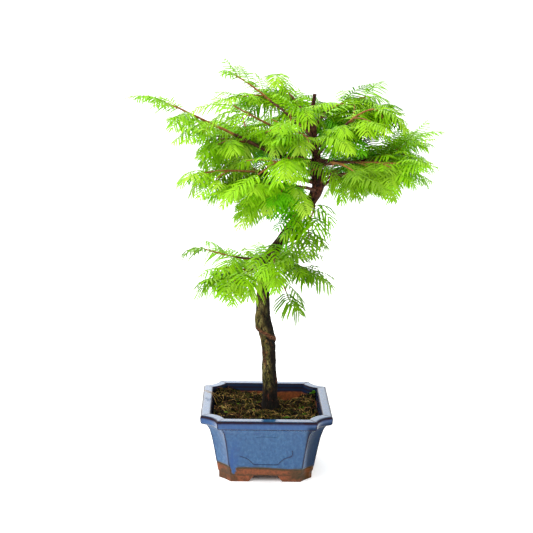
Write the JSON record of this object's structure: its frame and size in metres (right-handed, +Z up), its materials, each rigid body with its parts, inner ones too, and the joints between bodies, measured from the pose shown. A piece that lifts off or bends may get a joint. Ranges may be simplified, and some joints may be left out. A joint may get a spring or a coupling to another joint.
{
  "type": "dawn redwood bonsai in a glazed pot",
  "caption": "Small dawn redwood bonsai with a kinked, leaning trunk and layered feathery foliage, standing in a square blue-glazed pot with indented corners and cut-out feet.",
  "frame": {"origin": "centre of the whole part's footprint box, on the plane the pot's feet stand on", "axes": "+Z up along the tree, -Y towards the front of the pot, +X to the right of the front view"},
  "size_m": [0.3376, 0.2808, 0.491],
  "materials": {
    "glazed_pot": "glossy blue glaze over terracotta, bare at the foot",
    "soil": "dark crumbly soil with moss and dry roots",
    "bark": "fissured grey-brown bark, mossy green in places",
    "needles": "soft flat needles in feathery sprays, fresh yellow-green"
  },
  "bodies": {
    "root": {"pot": "glazed_pot", "soil": "soil", "trunk": "bark", "bough_far_left": "bark", "bough_high_left": "bark", "bough_mid_left": "bark", "bough_inner_left": "bark", "bough_low_left": "bark", "bough_high_back": "bark", "bough_high_front": "bark", "bough_high_right": "bark", "bough_high_back_right": "bark", "bough_upper_right": "bark", "bough_far_right": "bark", "bough_front_right": "bark", "bough_back_right": "bark", "bough_low_right": "bark", "bough_back_left": "bark", "bough_back_middle": "bark", "bough_low_back_right": "bark", "bough_front_upper": "bark", "bough_front_middle": "bark", "bough_front_inner": "bark", "bough_low_front": "bark", "bough_under_left": "bark", "bough_under_right": "bark", "bough_bottom_left": "bark", "bough_bottom_front": "bark", "bough_bottom_right": "bark", "bough_bottom_back": "bark", "bough_bottom_hanging": "bark", "needles_far_left": "needles", "needles_high_left": "needles", "needles_mid_left": "needles", "needles_inner_left": "needles", "needles_low_left": "needles", "needles_high_back": "needles", "needles_high_front": "needles", "needles_high_right": "needles", "needles_high_back_right": "needles", "needles_upper_right": "needles", "needles_far_right": "needles", "needles_front_right": "needles", "needles_back_right": "needles", "needles_low_right": "needles", "needles_back_left": "needles", "needles_back_middle": "needles", "needles_low_back_right": "needles", "needles_front_upper": "needles", "needles_front_middle": "needles", "needles_front_inner": "needles", "needles_low_front": "needles", "needles_under_left": "needles", "needles_under_right": "needles", "needles_bottom_left": "needles", "needles_bottom_front": "needles", "needles_bottom_right": "needles", "needles_bottom_back": "needles", "needles_bottom_hanging": "needles"}
  },
  "joints": []
}
